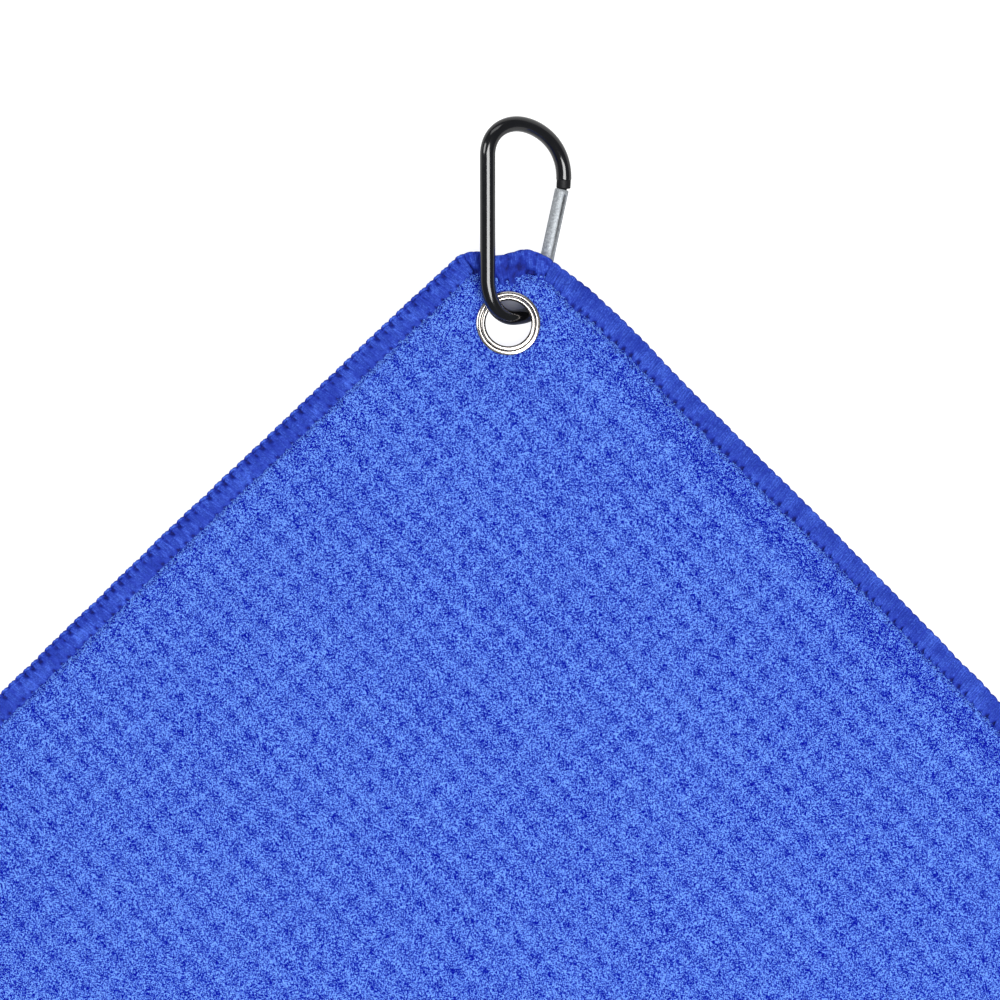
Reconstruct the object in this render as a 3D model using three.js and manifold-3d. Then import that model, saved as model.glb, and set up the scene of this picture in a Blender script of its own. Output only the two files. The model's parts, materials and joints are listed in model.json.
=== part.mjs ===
// A microfibre golf towel laid flat with one corner up: an overlocked square of waffle terry, a metal eyelet
// in its cut corner, and a small D-shaped snap hook through the eyelet. Millimetres, +Z up, +Y to that corner.
import * as THREE from "three";
import { mergeVertices } from "three/addons/utils/BufferGeometryUtils.js";
import Module from "manifold-3d";

const wasm = await Module();
wasm.setup();

// Towel
const towelSide = 406; // a 16 inch square
const cornerRadius = 12; // three of its corners
const cutBelowApex = 13.9; // the fourth is cut off square, this far below where its edges would meet
const clothThickness = 2.2;
const pinchedThickness = 1.0; // squeezed by the eyelet
const hemWidth = 7.4; // overlocked edge
const gap = 0.3; // between neighbouring solids

// Eyelet
const apexToEyelet = 35.2;
const eyeletHeight = 8; // its mid plane, lifted by the hook below it
const boreRadius = 6.9;
const flangeRadius = 9.6;
const tubeWall = 0.35;

// Snap hook, in its own plane: u from the straight back, v from the lowest point of the bottom bend
const rodRadius = 2.3;
const hookRoll = THREE.MathUtils.degToRad(38); // back up, gate down on the table
const hookPitch = THREE.MathUtils.degToRad(10); // far end up
const hookTurn = THREE.MathUtils.degToRad(0.75); // about the eyelet's axis
const hookCorner = [-6.2, 0.75, 13.15]; // its u = v = 0 in plan from the eyelet's centre, and in height
const hookReach = 61.5; // from the eyelet's centre to the top of the hook
const pivot = new THREE.Vector2(18.7, 2.8);
const gateTurn = -Math.atan2(10.2, 36.5); // the gate leans out from the pivot
const gateRadius = 2.1;
const gateFoot = -1.3; // the gate's ends, along it from the pivot
const gateTop = 35.6;
const tongueHalf = 0.5; // half the thickness of the hook's flattened ends
const forkHalf = 0.85; // half the width of the gate's forks
const latchAt = 33.7;
const rivetRadius = 0.75;
const latchRadius = 0.45;
const plungerRadius = 0.6;
const springBore = 0.95;

const halfDiagonal = towelSide / Math.SQRT2;
const eyeletToFoot = 2 * halfDiagonal - apexToEyelet - cornerRadius * (Math.SQRT2 - 1);
const eyeletY = (eyeletToFoot - hookReach) / 2;

const paint = (color, roughness, metalness) => new THREE.MeshStandardMaterial({ color, roughness, metalness });
const terry = paint(0x3a5fd9, 0.95, 0);
const thread = paint(0x2446c8, 0.8, 0);
const nickel = paint(0xd9d6d0, 0.2, 1);
const blackCoat = paint(0x17181b, 0.25, 0.4);
const satinMetal = paint(0xb4b8bc, 0.45, 1);
const steel = paint(0x9a9da1, 0.35, 1);

// A closed geometry as a solid, and back
function solid(geometry) {
  const g = geometry.clone();
  g.deleteAttribute("normal");
  g.deleteAttribute("uv");
  const merged = mergeVertices(g, 1e-4);
  const vertProperties = merged.attributes.position.array;
  return new wasm.Manifold(new wasm.Mesh({ numProp: 3, vertProperties, triVerts: new Uint32Array(merged.index.array) }));
}

function geometryOf(made) {
  const mesh = made.getMesh();
  const g = new THREE.BufferGeometry();
  g.setAttribute("position", new THREE.BufferAttribute(mesh.vertProperties, 3));
  g.setIndex(new THREE.BufferAttribute(mesh.triVerts, 1));
  const flat = g.toNonIndexed();
  flat.computeVertexNormals();
  return flat;
}

function named(name, geometry, material) {
  const mesh = new THREE.Mesh(geometry, material);
  mesh.name = name;
  return mesh;
}

// Cloth: a point is given by its distances along the two edges that would meet at the cut corner
const along = (right, left) =>
  new THREE.Vector2((right - left) / Math.SQRT2, apexToEyelet - (right + left) / Math.SQRT2);

// Height of the cloth's mid plane: flat on the table, raised round the eyelet, and tilted up past it
function clothHeight(x, y) {
  const plateau = 10.5;
  const flatFrom = 95;
  const tiltFrom = 10.5;
  const tiltBend = 4;
  const tiltSlope = 0.36;
  const fall = THREE.MathUtils.smoothstep(Math.hypot(x, y), plateau, flatFrom);
  const past = Math.max(0, y - tiltFrom);
  const ramp = past < tiltBend ? (past * past) / (2 * tiltBend) : past - tiltBend / 2;
  return eyeletHeight + (clothThickness / 2 - eyeletHeight) * fall + tiltSlope * ramp;
}

function clothHalf(x, y) {
  const squeeze = 1 - THREE.MathUtils.smoothstep(Math.hypot(x, y), 10, 14);
  return (clothThickness + (pinchedThickness - clothThickness) * squeeze) / 2;
}

// Grid lines are close together round the eyelet, and stop where the cloth is flat
function gridLines() {
  const fine = apexToEyelet / Math.SQRT2 / 7;
  const lines = [];
  for (let k = 0; k <= 14; k++) lines.push(k * fine);
  let step = fine;
  while (lines.at(-1) < 115) {
    step *= 1.28;
    lines.push(lines.at(-1) + step);
  }
  lines.push(towelSide);
  return lines;
}

// The whole cloth as a slab, before it is cut to its outline
function clothSlab() {
  const lines = gridLines();
  const n = lines.length;
  const positions = [];
  for (const side of [1, -1])
    for (const right of lines)
      for (const left of lines) {
        const p = along(right, left);
        positions.push(p.x, p.y, clothHeight(p.x, p.y) + side * clothHalf(p.x, p.y));
      }
  const faces = [];
  const at = (i, j, side) => side * n * n + i * n + j;
  const quad = (a, b, c, d) => faces.push(a, b, c, a, c, d);
  for (let i = 0; i < n - 1; i++)
    for (let j = 0; j < n - 1; j++) {
      quad(at(i, j, 0), at(i, j + 1, 0), at(i + 1, j + 1, 0), at(i + 1, j, 0));
      quad(at(i, j, 1), at(i + 1, j, 1), at(i + 1, j + 1, 1), at(i, j + 1, 1));
    }
  for (let k = 0; k < n - 1; k++) {
    quad(at(0, k, 0), at(0, k, 1), at(0, k + 1, 1), at(0, k + 1, 0));
    quad(at(n - 1, k + 1, 0), at(n - 1, k + 1, 1), at(n - 1, k, 1), at(n - 1, k, 0));
    quad(at(k + 1, 0, 0), at(k + 1, 0, 1), at(k, 0, 1), at(k, 0, 0));
    quad(at(k, n - 1, 0), at(k, n - 1, 1), at(k + 1, n - 1, 1), at(k + 1, n - 1, 0));
  }
  const g = new THREE.BufferGeometry();
  g.setAttribute("position", new THREE.Float32BufferAttribute(positions, 3));
  g.setIndex(faces);
  return g;
}

// A tall prism of the towel's outline, moved in by inset all round
function outlinePrism(inset) {
  const near = inset;
  const far = towelSide - inset;
  const round = Math.max(cornerRadius - inset, 2);
  const cut = Math.SQRT2 * (cutBelowApex + inset) - inset;
  const shape = new THREE.Shape();
  const quarter = Math.PI / 2;
  const corner = (right, left, start) => {
    const centre = along(right, left);
    shape.absarc(centre.x, centre.y, round, start, start + quarter);
  };
  shape.moveTo(...along(cut, near));
  shape.lineTo(...along(near, cut));
  corner(near + round, far - round, 1.5 * quarter);
  corner(far - round, far - round, 2.5 * quarter);
  corner(far - round, near + round, 3.5 * quarter);
  return new THREE.ExtrudeGeometry(shape, { depth: 40, bevelEnabled: false, curveSegments: 5 }).translate(0, 0, -10);
}

// A thin upright plate across the hem at a corner, where one side's edging ends and the next begins
function mitre(right, left, inwards) {
  const p = along(right, left);
  return solid(new THREE.BoxGeometry(40, gap, 40).rotateZ(inwards).translate(p.x, p.y, 0));
}

function cloth() {
  const slab = solid(clothSlab());
  const hole = solid(new THREE.CylinderGeometry(boreRadius + tubeWall + gap, boreRadius + tubeWall + gap, 40, 36)
    .rotateX(Math.PI / 2));
  const panel = slab.intersect(solid(outlinePrism(hemWidth + gap))).subtract(hole);
  const cut = Math.SQRT2 * cutBelowApex;
  const eighth = Math.PI / 8;
  let edging = slab.intersect(solid(outlinePrism(0))).subtract(solid(outlinePrism(hemWidth)));
  for (const [right, left, inwards] of [
    [cut, 0, -5 * eighth],
    [0, cut, 5 * eighth],
    [0, towelSide, 0],
    [towelSide, 0, 0],
    [towelSide, towelSide, 4 * eighth],
  ])
    edging = edging.subtract(mitre(right, left, inwards));
  const made = [named("towel_cloth", geometryOf(panel), terry)];
  for (const piece of edging.decompose()) {
    const { min, max } = piece.boundingBox();
    const x = (min[0] + max[0]) / 2;
    const y = (min[1] + max[1]) / 2;
    const level = y > apexToEyelet - halfDiagonal ? "upper" : "lower";
    const name = y > 0 ? "corner" : level + (x > 0 ? "_right" : "_left");
    made.push(named("overlock_hem_" + name, geometryOf(piece), thread));
  }
  return made;
}

// A ring turned from a closed outline of radii and heights
const turned = (points) =>
  new THREE.LatheGeometry(points.concat([points[0]]).map((p) => new THREE.Vector2(...p)), 32).rotateX(Math.PI / 2);

// Tube with its back flange, and its front end rolled out over the washer
function eyeletBarrel() {
  const outer = boreRadius + tubeWall;
  return turned([
    [7.4, -1.3],
    [flangeRadius - 0.2, -1.3],
    [flangeRadius, -1.05],
    [flangeRadius - 0.2, -0.8],
    [outer, -0.8],
    [outer, 1.25],
    [8.1, 1.25],
    [8.2, 1.35],
    [8.0, 1.6],
    [7.55, 1.75],
    [7.1, 1.55],
    [boreRadius, 1.15],
    [boreRadius, -0.8],
  ]);
}

function eyeletWasher() {
  const inner = boreRadius + tubeWall + gap;
  return turned([
    [inner, 0.75],
    [flangeRadius - 0.2, 0.75],
    [flangeRadius, 0.95],
    [flangeRadius - 0.25, 1.3],
    [flangeRadius - 0.65, 1.4],
    [8.5, 1.25],
    [8.5, 0.95],
    [inner, 0.95],
  ]);
}

// Snap hook
const spot = (u, v) => new THREE.Vector3(u, v, 0);

// Centre line of the rod, from the nose over the top, down the back and round the bottom to the pivot
function hookRoute() {
  const route = new THREE.CurvePath();
  const bend = (...points) => route.add(new THREE.CubicBezierCurve3(...points.map((p) => spot(...p))));
  route.add(new THREE.LineCurve3(spot(28.93, 37.85), spot(29.05, 40)));
  bend([29.05, 40], [29.6, 51.8], [17.5, 58.2], [10.1, 58.2]);
  bend([10.1, 58.2], [4.2, 58.2], [0, 55], [0, 49.5]);
  route.add(new THREE.LineCurve3(spot(0, 49.5), spot(0, 12)));
  bend([0, 12], [0, 6], [4, 0], [10.5, 0]);
  bend([10.5, 0], [12.8, 0], [14.9, 0], [16.6, 0.95]);
  return route;
}

const disc = (radius) => new THREE.Shape().absarc(0, 0, radius, 0, 2 * Math.PI);

// A flat plate with round ends, in the hook's plane
function strap(from, to, radius, half) {
  const angle = Math.atan2(to.y - from.y, to.x - from.x);
  const quarter = Math.PI / 2;
  const shape = new THREE.Shape();
  shape.absarc(to.x, to.y, radius, angle - quarter, angle + quarter);
  shape.absarc(from.x, from.y, radius, angle + quarter, angle + 3 * quarter);
  return new THREE.ExtrudeGeometry(shape, { depth: 2 * half, bevelEnabled: false, curveSegments: 6 })
    .translate(0, 0, -half);
}

// A pin square to the hook's plane, and a bar and a block along the gate
const crossPin = (radius, half, at) =>
  new THREE.CylinderGeometry(radius, radius, 2 * half, 16).rotateX(Math.PI / 2).translate(0, at, 0);
const bar = (radius, from, to, sides) =>
  new THREE.CylinderGeometry(radius, radius, to - from, sides).translate(0, (from + to) / 2, 0);
const block = (x0, x1, y0, y1, half) =>
  new THREE.BoxGeometry(x1 - x0, y1 - y0, 2 * half).translate((x0 + x1) / 2, (y0 + y1) / 2, 0);
const onGate = (geometry) => geometry.rotateZ(gateTurn).translate(pivot.x, pivot.y, 0);

function hookBody() {
  const rod = new THREE.ExtrudeGeometry(disc(rodRadius), {
    steps: 70,
    curveSegments: 6,
    bevelEnabled: false,
    extrudePath: hookRoute(),
  });
  const eye = solid(strap(new THREE.Vector2(15.6, 0.9), pivot, 1.7, tongueHalf))
    .subtract(solid(onGate(crossPin(rivetRadius + gap, 3, 0))));
  const nose = solid(onGate(block(-1.5, 1.5, latchAt - 1.7, gateTop + 2, tongueHalf)))
    .subtract(solid(onGate(block(-3, 0.9, latchAt - 0.8, latchAt + 0.8, 2))));
  return geometryOf(solid(rod).add(eye).add(nose));
}

function hookGate() {
  const foot = block(-3, 3, gateFoot - 2, 3.4, forkHalf);
  const head = block(-3, 3, latchAt - 2.1, gateTop + 2, forkHalf);
  const cuts = [foot, head, bar(springBore, 3, 22, 12), crossPin(rivetRadius + gap, 4, 0),
    crossPin(latchRadius + gap, 4, latchAt)];
  return geometryOf(cuts.reduce((left, cut) => left.subtract(solid(cut)), solid(bar(gateRadius, gateFoot, gateTop, 16))));
}

class Helix extends THREE.Curve {
  constructor(radius, from, to, turns) {
    super();
    Object.assign(this, { radius, from, to, turns });
  }
  getPoint(t, target = new THREE.Vector3()) {
    const angle = 2 * Math.PI * this.turns * t;
    const y = this.from + (this.to - this.from) * t;
    return target.set(this.radius * Math.cos(angle), y, this.radius * Math.sin(angle));
  }
}

function gateSpring() {
  const turns = 12;
  return new THREE.ExtrudeGeometry(disc(0.13), {
    steps: turns * 9,
    curveSegments: 3,
    bevelEnabled: false,
    extrudePath: new Helix(0.6, 6.5, 21.4, turns),
  });
}

const root = new THREE.Group();

const towel = new THREE.Group();
towel.position.set(0, eyeletY, 0);
towel.add(...cloth());

const eyelet = new THREE.Group();
eyelet.position.set(0, eyeletY, eyeletHeight);
eyelet.add(named("eyelet_barrel", eyeletBarrel(), nickel), named("eyelet_washer", eyeletWasher(), nickel));

const hanging = new THREE.Group(); // turns about the eyelet's axis
hanging.position.set(0, eyeletY, 0);
hanging.rotation.z = hookTurn;
const hook = new THREE.Group();
hook.position.set(...hookCorner);
hook.rotation.set(hookPitch, hookRoll, 0);
hook.add(named("carabiner_body", hookBody(), blackCoat));
hanging.add(hook);

const gate = new THREE.Group();
gate.position.set(pivot.x, pivot.y, 0);
gate.rotation.z = gateTurn;
gate.add(
  named("carabiner_gate", hookGate(), satinMetal),
  named("gate_pivot_rivet", crossPin(rivetRadius, 2.2, 0), steel),
  named("gate_latch_pin", crossPin(latchRadius, 2.0, latchAt), steel),
  named("gate_spring", gateSpring(), steel),
  named("gate_plunger", bar(plungerRadius, 2, 5.4, 12), steel),
);
hook.add(gate);

root.add(towel, eyelet, hanging);
export default root;
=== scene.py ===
# Golf towel: blue waffle microfibre with an overlocked edge, a nickel eyelet and a black snap hook.
# The cloth and the eyelet are built in millimetres round the eyelet's centre, and the hook and the gate in
# millimetres in their own planes. Each is then put in place in metres.
import json
import math
import random

import bmesh
import bpy
from mathutils import Matrix, Vector, noise


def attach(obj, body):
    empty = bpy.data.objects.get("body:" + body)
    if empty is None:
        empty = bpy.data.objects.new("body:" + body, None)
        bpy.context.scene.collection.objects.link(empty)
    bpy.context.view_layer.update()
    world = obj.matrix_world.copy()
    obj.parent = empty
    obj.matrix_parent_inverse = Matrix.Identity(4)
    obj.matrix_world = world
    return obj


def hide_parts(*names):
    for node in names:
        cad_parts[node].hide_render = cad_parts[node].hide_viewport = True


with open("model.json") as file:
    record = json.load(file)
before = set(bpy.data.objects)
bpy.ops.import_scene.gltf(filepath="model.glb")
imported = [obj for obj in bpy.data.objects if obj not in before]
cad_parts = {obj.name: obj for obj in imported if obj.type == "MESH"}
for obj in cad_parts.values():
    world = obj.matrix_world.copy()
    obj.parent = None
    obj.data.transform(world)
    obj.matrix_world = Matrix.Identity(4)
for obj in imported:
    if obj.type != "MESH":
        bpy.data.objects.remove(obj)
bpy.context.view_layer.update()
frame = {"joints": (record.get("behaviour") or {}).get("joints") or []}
joints = {joint["name"]: joint for joint in frame["joints"]}
eyeletCentre = Vector(joints["carabiner_swing"]["pos_m"])
toMetres = 0.001


# small tools

def linearColour(hexText, alpha=1.0):
    channels = [int(hexText[i:i + 2], 16) / 255 for i in (1, 3, 5)]
    return [c / 12.92 if c <= 0.04045 else ((c + 0.055) / 1.055) ** 2.4 for c in channels] + [alpha]


def addNode(tree, kind, inputs=None, **settings):
    made = tree.nodes.new(kind)
    for key, value in settings.items():
        setattr(made, key, value)
    for key, value in (inputs or {}).items():
        if isinstance(value, bpy.types.NodeSocket):
            tree.links.new(value, made.inputs[key])
        else:
            made.inputs[key].default_value = value
    return made


def smooth(value, low, high):
    t = min(max((value - low) / (high - low), 0), 1)
    return t * t * (3 - 2 * t)


def addObject(name, data):
    made = bpy.data.objects.new(name, data)
    bpy.context.scene.collection.objects.link(made)
    return made


def linkMesh(name, mesh, material, body, replaces=()):
    piece = addObject(name, mesh)
    mesh.materials.clear()
    mesh.materials.append(material)
    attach(piece, body)
    if replaces:
        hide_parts(*replaces)
    return piece


def shadeSmooth(mesh, isSmooth=True):
    mesh.polygons.foreach_set("use_smooth", [isSmooth] * len(mesh.polygons))
    return mesh


def meshFrom(name, points, faces, place=None, smoothFaces=True):
    mesh = bpy.data.meshes.new(name)
    mesh.from_pydata([tuple(place @ Vector(p)) if place else tuple(p) for p in points], [], faces)
    mesh.update()
    return shadeSmooth(mesh, smoothFaces)


def addValues(mesh, name, values):
    # one number for each point, for a material to read
    mesh.attributes.new(name, "FLOAT", "POINT").data.foreach_set("value", values)


def faceOutwards(mesh):
    work = bmesh.new()
    work.from_mesh(mesh)
    bmesh.ops.remove_doubles(work, verts=work.verts, dist=1e-7)
    bmesh.ops.recalc_face_normals(work, faces=work.faces)
    work.to_mesh(mesh)
    work.free()
    return mesh


# materials

def newMaterial(name):
    material = bpy.data.materials.new(name)
    material.use_nodes = True
    tree = material.node_tree
    return material, tree, tree.nodes["Principled BSDF"]


def microfibreTerry():
    # split polyester and polyamide loops, matt; the colour is painted darker between the loops as shade and
    # lighter on their tips as painted highlight
    material, tree, shader = newMaterial("microfibre_waffle_terry")
    place = addNode(tree, "ShaderNodeTexCoord").outputs["Object"]
    # loops of about 1 mm, brushed over in short strokes both ways across the weave
    strokes = []
    for stretch in ((1.35, 0.8, 1.0), (0.8, 1.35, 1.0)):
        laid = addNode(tree, "ShaderNodeMapping", {
            "Vector": place, "Rotation": (0, 0, math.radians(45)), "Scale": stretch})
        strokes.append(addNode(tree, "ShaderNodeTexNoise", {
            "Vector": laid.outputs["Vector"], "Scale": 2250.0, "Detail": 1.0, "Roughness": 0.5,
            "Distortion": 1.0}))
    loops = addNode(tree, "ShaderNodeMath", {0: strokes[0].outputs["Fac"], 1: strokes[1].outputs["Fac"]},
                    operation="ADD")
    paintedPileShade = addNode(tree, "ShaderNodeAttribute", attribute_name="waffle")
    patches = addNode(tree, "ShaderNodeTexNoise", {"Vector": place, "Scale": 26.0, "Detail": 2.0})
    # painted shade: the waffle's dimples are coloured darker, and so is a band beside the crease, with a
    # little painted light inside it
    raised = addNode(tree, "ShaderNodeMath", {0: paintedPileShade.outputs["Fac"], 1: 0.056, 2: -0.0385},
                     operation="MULTIPLY_ADD")
    tone = addNode(tree, "ShaderNodeMath", {0: loops.outputs[0], 1: 0.5, 2: raised.outputs[0]},
                   operation="MULTIPLY_ADD")
    lie = addNode(tree, "ShaderNodeMath", {0: patches.outputs["Fac"], 1: 0.022, 2: -0.011},
                  operation="MULTIPLY_ADD")
    level = addNode(tree, "ShaderNodeMath", {0: tone.outputs[0], 1: lie.outputs[0]}, operation="ADD")
    # the darkest colour is painted shade between loops and in dimples, the lightest a painted highlight on
    # loop tips
    ramp = addNode(tree, "ShaderNodeValToRGB", {"Fac": level.outputs[0]})
    ramp.color_ramp.elements[0].position = 0.45
    ramp.color_ramp.elements[0].color = linearColour("#010894")
    ramp.color_ramp.elements[1].position = 0.555
    ramp.color_ramp.elements[1].color = linearColour("#709DF4")
    middle = ramp.color_ramp.elements.new(0.503)
    middle.color = linearColour("#1634BC")
    bump = addNode(tree, "ShaderNodeBump", {"Height": loops.outputs[0], "Strength": 0.8, "Distance": 0.0003})
    tree.links.new(ramp.outputs["Color"], shader.inputs["Base Color"])
    tree.links.new(bump.outputs["Normal"], shader.inputs["Normal"])
    shader.inputs["Roughness"].default_value = 0.92
    shader.inputs["Specular IOR Level"].default_value = 0.1
    return material


def overlockThread():
    # textured spun polyester: many soft strands laid side by side, smoother than the pile
    material, tree, shader = newMaterial("spun_polyester_overlock_thread")
    place = addNode(tree, "ShaderNodeTexCoord").outputs["Object"]
    fibres = addNode(tree, "ShaderNodeTexNoise", {
        "Vector": place, "Scale": 1900.0, "Detail": 2.0, "Roughness": 0.6})
    paintedShadeAndTone = addNode(tree, "ShaderNodeAttribute", attribute_name="paintedShadeAndTone")
    onEdge = addNode(tree, "ShaderNodeUVMap", uv_map="alongEdge")
    stretched = addNode(tree, "ShaderNodeMapping", {"Vector": onEdge.outputs["UV"], "Scale": (2400, 170, 1)})
    strands = addNode(tree, "ShaderNodeTexNoise", {
        "Vector": stretched.outputs["Vector"], "Scale": 1.0, "Detail": 2.0, "Roughness": 0.6})
    laid = addNode(tree, "ShaderNodeMath", {0: fibres.outputs["Fac"], 1: 0.9, 2: strands.outputs["Fac"]},
                   operation="MULTIPLY_ADD")
    patches = addNode(tree, "ShaderNodeTexNoise", {"Vector": place, "Scale": 200.0, "Detail": 2.0})
    worn = addNode(tree, "ShaderNodeMath", {0: patches.outputs["Fac"], 1: 0.3}, operation="MULTIPLY")
    tone = addNode(tree, "ShaderNodeMath", {0: laid.outputs[0], 1: 0.4, 2: worn.outputs[0]},
                   operation="MULTIPLY_ADD")
    # pits, sunken folds and the ends of each purl bead are painted darker as shade, and the middle of each
    # bead lighter as painted highlight; the strands' own tones vary at random
    shade = addNode(tree, "ShaderNodeMath", {0: paintedShadeAndTone.outputs["Fac"], 1: -0.5, 2: tone.outputs[0]},
                    operation="MULTIPLY_ADD")
    ramp = addNode(tree, "ShaderNodeValToRGB", {"Fac": shade.outputs[0]})
    ramp.color_ramp.elements[0].position = 0.12
    ramp.color_ramp.elements[0].color = linearColour("#0E1668")
    ramp.color_ramp.elements[1].position = 0.66
    ramp.color_ramp.elements[1].color = linearColour("#466AD8")
    for position, colour in ((0.42, "#182F9E"), (0.53, "#2640AE")):
        ramp.color_ramp.elements.new(position).color = linearColour(colour)
    bump = addNode(tree, "ShaderNodeBump", {"Height": laid.outputs[0], "Strength": 0.8, "Distance": 0.0003})
    tree.links.new(ramp.outputs["Color"], shader.inputs["Base Color"])
    tree.links.new(bump.outputs["Normal"], shader.inputs["Normal"])
    shader.inputs["Roughness"].default_value = 0.7
    shader.inputs["Specular IOR Level"].default_value = 0.2
    return material


def brightNickel():
    # nickel plate on brass, polished: near mirror, slightly warm, with fine handling marks
    material, tree, shader = newMaterial("nickel_plated_brass")
    place = addNode(tree, "ShaderNodeTexCoord").outputs["Object"]
    marks = addNode(tree, "ShaderNodeTexNoise", {"Vector": place, "Scale": 700.0, "Detail": 3.0})
    rough = addNode(tree, "ShaderNodeMapRange", {
        "Value": marks.outputs["Fac"], "From Min": 0.3, "From Max": 0.7, "To Min": 0.16, "To Max": 0.26})
    # painted shade: the colour is darker in the bore, in the groove and at the outer rim
    eyeletShade = addNode(tree, "ShaderNodeAttribute", attribute_name="paintedShadeAndTone")
    # sockets 6, 7 and the result 2 are the mix node's colours
    shadedNickel = addNode(tree, "ShaderNodeMix", {
        "Factor": eyeletShade.outputs["Fac"], 6: linearColour("#D8D2CC"), 7: linearColour("#4A3F38")},
        data_type="RGBA")
    bump = addNode(tree, "ShaderNodeBump", {
        "Height": marks.outputs["Fac"], "Strength": 0.08, "Distance": 0.0001})
    tree.links.new(shadedNickel.outputs[2], shader.inputs["Base Color"])
    tree.links.new(rough.outputs[0], shader.inputs["Roughness"])
    tree.links.new(bump.outputs["Normal"], shader.inputs["Normal"])
    shader.inputs["Metallic"].default_value = 1.0
    return material


def blackAnodised(name, coat, roughest):
    # black dyed and sealed anodising on drawn aluminium rod: deep black, with a sharp gloss where coated
    material, tree, shader = newMaterial(name)
    place = addNode(tree, "ShaderNodeTexCoord").outputs["Object"]
    skin = addNode(tree, "ShaderNodeTexNoise", {"Vector": place, "Scale": 420.0, "Detail": 2.0})
    bump = addNode(tree, "ShaderNodeBump", {
        "Height": skin.outputs["Fac"], "Strength": 0.06, "Distance": 0.0002})
    rough = addNode(tree, "ShaderNodeMapRange", {
        "Value": skin.outputs["Fac"], "From Min": 0.3, "From Max": 0.7,
        "To Min": roughest - 0.08, "To Max": roughest})
    tree.links.new(rough.outputs[0], shader.inputs["Roughness"])
    tree.links.new(bump.outputs["Normal"], shader.inputs["Normal"])
    shader.inputs["Base Color"].default_value = linearColour("#08090C")
    shader.inputs["Specular IOR Level"].default_value = 0.3
    shader.inputs["Coat Weight"].default_value = coat
    shader.inputs["Coat Roughness"].default_value = 0.08
    shader.inputs["Coat IOR"].default_value = 1.62
    return material


def satinAluminium():
    # tumbled and clear-anodised rod: satin with a fine frosted grain
    material, tree, shader = newMaterial("satin_anodised_aluminium")
    place = addNode(tree, "ShaderNodeTexCoord").outputs["Object"]
    grain = addNode(tree, "ShaderNodeTexNoise", {
        "Vector": place, "Scale": 1600.0, "Detail": 3.0, "Roughness": 0.7})
    tint = addNode(tree, "ShaderNodeValToRGB", {"Fac": grain.outputs["Fac"]})
    tint.color_ramp.elements[0].position = 0.35
    tint.color_ramp.elements[0].color = linearColour("#8E9397")
    tint.color_ramp.elements[1].position = 0.65
    tint.color_ramp.elements[1].color = linearColour("#C2C7CA")
    bump = addNode(tree, "ShaderNodeBump", {
        "Height": grain.outputs["Fac"], "Strength": 0.35, "Distance": 0.0002})
    tree.links.new(tint.outputs["Color"], shader.inputs["Base Color"])
    tree.links.new(bump.outputs["Normal"], shader.inputs["Normal"])
    shader.inputs["Metallic"].default_value = 0.6
    shader.inputs["Roughness"].default_value = 0.55
    return material


def drawnSteel():
    # plain drawn wire and pins, lightly oiled
    material, tree, shader = newMaterial("drawn_steel_wire")
    place = addNode(tree, "ShaderNodeTexCoord").outputs["Object"]
    lines = addNode(tree, "ShaderNodeTexNoise", {"Vector": place, "Scale": 1200.0, "Detail": 2.0})
    rough = addNode(tree, "ShaderNodeMapRange", {
        "Value": lines.outputs["Fac"], "From Min": 0.3, "From Max": 0.7, "To Min": 0.25, "To Max": 0.42})
    tree.links.new(rough.outputs[0], shader.inputs["Roughness"])
    shader.inputs["Base Color"].default_value = linearColour("#A9ACB0")
    shader.inputs["Metallic"].default_value = 1.0
    return material


terryMaterial = microfibreTerry()
threadMaterial = overlockThread()
nickelMaterial = brightNickel()
blackMaterial = blackAnodised("gloss_black_anodised_aluminium", 0.9, 0.24)
mattBlackMaterial = blackAnodised("matt_black_anodised_aluminium", 0.0, 0.6)
gateMaterial = satinAluminium()
steelMaterial = drawnSteel()
print("materials made")


# cloth

towel = {
    "side": 406.0,
    "apexToEyelet": 35.2,
    "cutBelowApex": 13.9,
    "cornerRadius": 12.0,
    "cutLeftRadius": 9.0,
    "cutRightRadius": 22.0,
    "hemWidth": 7.4,
    "tuckedUnderHem": 0.6,
    "thickness": 2.2,
    "pinched": 1.0,  # in the eyelet
    "cellAlongRight": 7.1,
    "cellAlongLeft": 6.75,
    "linesPerCell": 4,
    "dimple": 0.42,
    "dimpleBack": 0.35,
    "holeRadius": 7.7,
    "easedOut": 2.9,
}
onCloth = Matrix.Translation(Vector((eyeletCentre.x, eyeletCentre.y, 0))) @ Matrix.Scale(toMetres, 4)


def alongEdges(right, left):
    # a point from its distances along the two edges that would meet at the cut corner
    return (right - left) / math.sqrt(2), towel["apexToEyelet"] - (right + left) / math.sqrt(2)


def settled(x, y):
    # the cloth lies a little wider than its pattern away from the cut corner, and its upper edges wander
    inwards = (towel["apexToEyelet"] - y - abs(x)) / math.sqrt(2)
    if x > 0:
        lift = 0.9 * math.exp(-((x - 38) / 9) ** 2) - 1.6 * math.exp(-((x - 17.5) / 5) ** 2)
    else:
        lift = 0.7 * math.exp(-((x + 42) / 20) ** 2)
    y += lift * (1 - smooth(inwards, 6, 50))
    return x + math.copysign(towel["easedOut"] * smooth(abs(x), 20, 105), x), y


def clothHeight(x, y):
    # flat on the table, raised round the eyelet by the hook under it, and tilted up past it
    level = eyeletCentre.z / toMetres
    fall = smooth(math.hypot(x, y), 10.5, 95)
    past = max(0, y - 10.5)
    ramp = past * past / 8 if past < 4 else past - 2
    return level + (towel["thickness"] / 2 - level) * fall + 0.36 * ramp


def clothHalf(x, y):
    squeeze = 1 - smooth(math.hypot(x, y), 10, 14)
    return (towel["thickness"] + (towel["pinched"] - towel["thickness"]) * squeeze) / 2


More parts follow.
